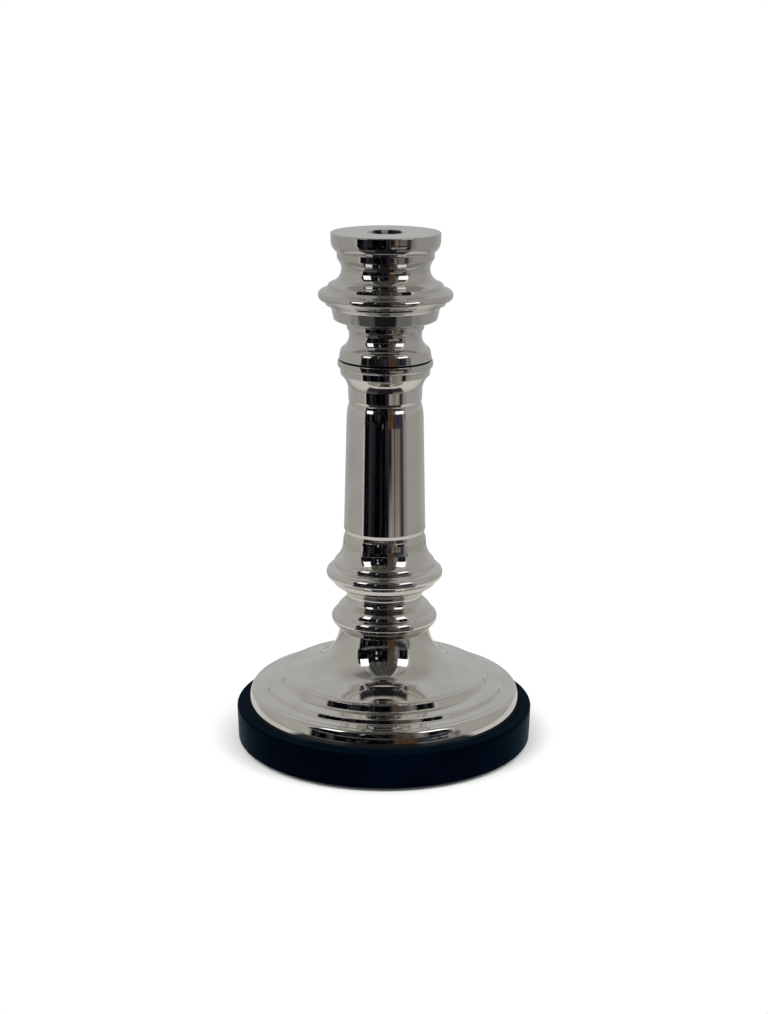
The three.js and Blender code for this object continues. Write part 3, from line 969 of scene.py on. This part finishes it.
# What the polished metal mirrors, later ones over earlier ones: the azimuth, the elevation, how soft
# the edges are, and the colour
studioPatches = [
    ((-41, 36), (42, 79), 4.0, (0.060, 0.058, 0.055, 1.0)),
    ((-104, -43), (61, 79), 5.0, (0.19, 0.19, 0.185, 1.0)),
    ((28, 58), (-16, 8), 3.0, (0.030, 0.034, 0.046, 1.0)),
    ((54, 67), (-40, 8), 2.0, (0.235, 0.228, 0.214, 1.0)),
    ((9, 28), (-9.5, 11), 2.0, (0.075, 0.040, 0.022, 1.0)),
    ((9, 26), (11, 60), 3.0, (0.070, 0.056, 0.045, 1.0)),
    ((25, 37), (9, 45), 2.0, (0.14, 0.14, 0.135, 1.0)),
    ((-47, -41), (-30, 8), 1.5, (0.032, 0.034, 0.038, 1.0)),
    ((20, 46), (-26, -9.5), 1.6, (0.16, 0.145, 0.125, 1.0)),
    ((11, 46), (-26, -12.5), 1.2, (0.24, 0.22, 0.195, 1.0)),
    ((36, 45), (1.5, 3.5), 0.8, (0.22, 0.24, 0.27, 1.0)),
    ((47, 55), (2, 4), 0.8, (0.20, 0.22, 0.25, 1.0)),
    ((-7.5, -5.5), (-9, -6), 0.6, (0.20, 0.21, 0.22, 1.0)),
]
studioLamps = [
    ((-20.5, -16.5), (30.5, 35.5), 0.8, (0.80, 0.84, 0.90, 1.0)),
    ((-20, -17), (18.5, 24), 0.8, (0.55, 0.58, 0.62, 1.0)),
]
floorLook = {
    "radius": 0.5,  # metres
    "sides": 96,
    "colour": (0.93, 0.935, 0.93, 1.0),
    "shadowTo": (0.090, 0.118),  # metres
}
# The table as the metal mirrors it. Spans and their soft edges are azimuths, and the other distances
# are metres from the axis
tableLook = {
    "near": (0.66, 0.65, 0.62, 1.0),
    "far": (0.30, 0.295, 0.28, 1.0),
    "farFrom": (0.20, 0.50),
    "front": (0.085, 0.088, 0.080, 1.0),
    "frontSpan": (-64, 62),
    "frontSoft": 5.0,
    "frontFrom": (0.135, 0.17),
    "frontRight": (0.18, 0.182, 0.17, 1.0),
    "frontRightFrom": (14.0, 24.0),  # an azimuth too
    "frontNear": (0.030, 0.030, 0.034, 1.0),
    "frontNearTo": (0.27, 0.34),
    "shade": (0.014, 0.014, 0.016, 1.0),  # the dark opening's own mirror image, straight in front
    "shadeSpan": (-25, 25),
    "shadeSoft": 4.0,
    "shadeFrom": (0.135, 0.165),
}


def framed(tree, view, sideways, upward, softAside, softUp):
    azimuth, elevation = view
    aside = window(tree, azimuth, *sideways, softAside)
    return times(tree, aside, window(tree, elevation, *upward, softUp))


def hang(tree, colour, patches, view):
    for sideways, upward, soft, shade in patches:
        mask = framed(tree, view, sideways, upward, soft, soft)
        colour = blendColour(tree, mask, colour, shade)
    return colour


def makeWorld(look, room, patches, lamps):
    world = bpy.data.worlds.new("studio")
    scene.world = world
    world.use_nodes = True
    tree = world.node_tree
    tree.nodes.clear()
    way = addNode(tree, "ShaderNodeTexCoord").outputs["Generated"]
    x, y, z = addNode(tree, "ShaderNodeSeparateXYZ", {0: way}).outputs
    azimuth = azimuthOf(tree, x, y)
    elevation = reckon(tree, "DEGREES", reckon(tree, "ARCSINE", z))
    view = (azimuth, elevation)
    toRight = remap(tree, azimuth, *look["rightWallFrom"])
    toBack = remap(tree, reckon(tree, "ABSOLUTE", azimuth), *look["backFrom"])
    colour = blendColour(tree, toRight, look["leftWall"], look["rightWall"])
    colour = blendColour(tree, remap(tree, elevation, *look["ceilingFrom"]), colour, look["ceiling"])
    colour = blendColour(tree, toBack, colour, look["back"])
    colour = dimmed(tree, colour, remap(tree, elevation, *look["lowWallTo"], look["lowWall"], 1.0))

    clutter = addNode(tree, "ShaderNodeCombineXYZ", {0: azimuth, 1: elevation, 2: room["thingShift"]})
    things = noise(tree, clutter.outputs[0], room["things"], detail=2.0)
    dark = dimmed(tree, room["dark"], remap(tree, things, *room["thingLevels"], *room["thingStrength"]))
    for sideways, upward in look["opening"]:
        mask = framed(tree, view, sideways, upward, look["openingSoft"], look["openingSoft"])
        colour = blendColour(tree, mask, colour, dark)
    colour = hang(tree, colour, patches, view)

    flattened = times(tree, elevation, room["foldFlatness"])
    upright = addNode(tree, "ShaderNodeCombineXYZ", {0: azimuth, 1: flattened}).outputs[0]
    folds = noise(tree, upright, room["folds"], detail=3.0)
    vary = remap(tree, folds, *room["foldLevels"], *room["foldStrength"], smooth=False)
    folded = framed(tree, view, *room["foldSpan"], *room["foldSoft"])
    colour = blendColour(tree, folded, colour, dimmed(tree, colour, vary))
    colour = blendColour(tree, remap(tree, elevation, *look["crownFrom"]), colour, look["crown"])
    colour = hang(tree, colour, lamps, view)

    path = addNode(tree, "ShaderNodeLightPath").outputs
    mirrored = glow(tree, "ShaderNodeBackground", colour)
    plain = glow(tree, "ShaderNodeBackground", grey(1.0), look["plainLevel"])
    white = glow(tree, "ShaderNodeBackground", grey(1.0))
    lit = mixShaders(tree, path["Is Glossy Ray"], plain, mirrored)
    seen = mixShaders(tree, path["Is Camera Ray"], lit, white)
    addNode(tree, "ShaderNodeOutputWorld", {0: seen})


def paintFloor(look, table):
    material = bpy.data.materials.new("paleFloor")
    material.use_nodes = True
    tree = material.node_tree
    tree.nodes.clear()
    place = addNode(tree, "ShaderNodeTexCoord").outputs["Object"]
    x, y = addNode(tree, "ShaderNodeSeparateXYZ", {0: place}).outputs[:2]
    away = fromAxis(tree, x, y)
    azimuth = azimuthOf(tree, x, y)
    path = addNode(tree, "ShaderNodeLightPath").outputs
    # The camera sees a white floor that keeps the stand's shadow near it
    matt = addNode(tree, "ShaderNodeBsdfDiffuse", {"Color": look["colour"]}).outputs[0]
    white = glow(tree, "ShaderNodeEmission", grey(1.0))
    fade = times(tree, remap(tree, away, *look["shadowTo"]), path["Is Camera Ray"])
    seen = mixShaders(tree, fade, matt, white)
    # The metal mirrors the table as the tent lights it
    colour = blendColour(tree, remap(tree, away, *table["farFrom"]), table["near"], table["far"])
    toRight = remap(tree, azimuth, *table["frontRightFrom"])
    front = blendColour(tree, toRight, table["front"], table["frontRight"])
    front = blendColour(tree, remap(tree, away, *table["frontNearTo"]), table["frontNear"], front)
    for name, shade in (("front", front), ("shade", table["shade"])):
        ahead = window(tree, azimuth, *table[name + "Span"], table[name + "Soft"])
        mask = times(tree, ahead, remap(tree, away, *table[name + "From"]))
        colour = blendColour(tree, mask, colour, shade)
    mirrored = glow(tree, "ShaderNodeEmission", colour)
    mixed = mixShaders(tree, path["Is Glossy Ray"], seen, mirrored)
    addNode(tree, "ShaderNodeOutputMaterial", {0: mixed})
    return material


def makeFloor(look, table):
    mesh = bpy.data.meshes.new("paleFloor")
    shell = bmesh.new()
    bmesh.ops.create_circle(shell, cap_ends=True, segments=look["sides"], radius=look["radius"])
    shell.to_mesh(mesh)
    shell.free()
    mesh.materials.append(paintFloor(look, table))
    floor = bpy.data.objects.new("paleFloor", mesh)
    scene.collection.objects.link(floor)


# Two round lamps that light the matt pieces: place in metres, power in watts, width in metres
lampSizes = [
    ((-0.9, -1.1, 1.5), 16.0, 1.1),
    ((1.1, -0.8, 1.4), 12.0, 1.1),
]
# Two upright soft boxes close to the stand, which the metal mirrors
boxSizes = {
    "distance": 421,
    "foot": 323,
    "top": 525,
    "spans": [(-58, -38), (33, 58)],  # azimuths
    "radiance": 1.5,  # watts per square metre and steradian
}


def addLamp(name, shape, place, target, width, height, power):
    data = bpy.data.lights.new(name, "AREA")
    data.shape = shape
    data.size = width
    data.size_y = height
    data.energy = power
    lamp = bpy.data.objects.new(name, data)
    scene.collection.objects.link(lamp)
    lamp.location = place
    lamp.rotation_euler = (Vector(target) - Vector(place)).to_track_quat("-Z", "Y").to_euler()
    lamp.visible_camera = False
    return lamp


def makeLamps(lamps):
    for place, power, width in lamps:
        lamp = addLamp("softLamp", "DISK", place, (0.0, 0.0, 0.0), width, width, power)
        lamp.visible_glossy = False


def makeBoxes(s):
    tall = (s["top"] - s["foot"]) * millimetre
    away = s["distance"] * millimetre
    height = (s["top"] + s["foot"]) / 2 * millimetre
    for start, end in s["spans"]:
        middle = math.radians((start + end) / 2)
        wide = 2 * away * math.tan(math.radians((end - start) / 2))
        place = (away * math.sin(middle), -away * math.cos(middle), height)
        power = s["radiance"] * math.pi * wide * tall
        addLamp("softBox", "RECTANGLE", place, (0.0, 0.0, height), wide, tall, power)


makeWorld(studioLook, roomLook, studioPatches, studioLamps)
makeFloor(floorLook, tableLook)
makeLamps(lampSizes)
makeBoxes(boxSizes)
scene.view_settings.view_transform = "Standard"
print("studio lit")
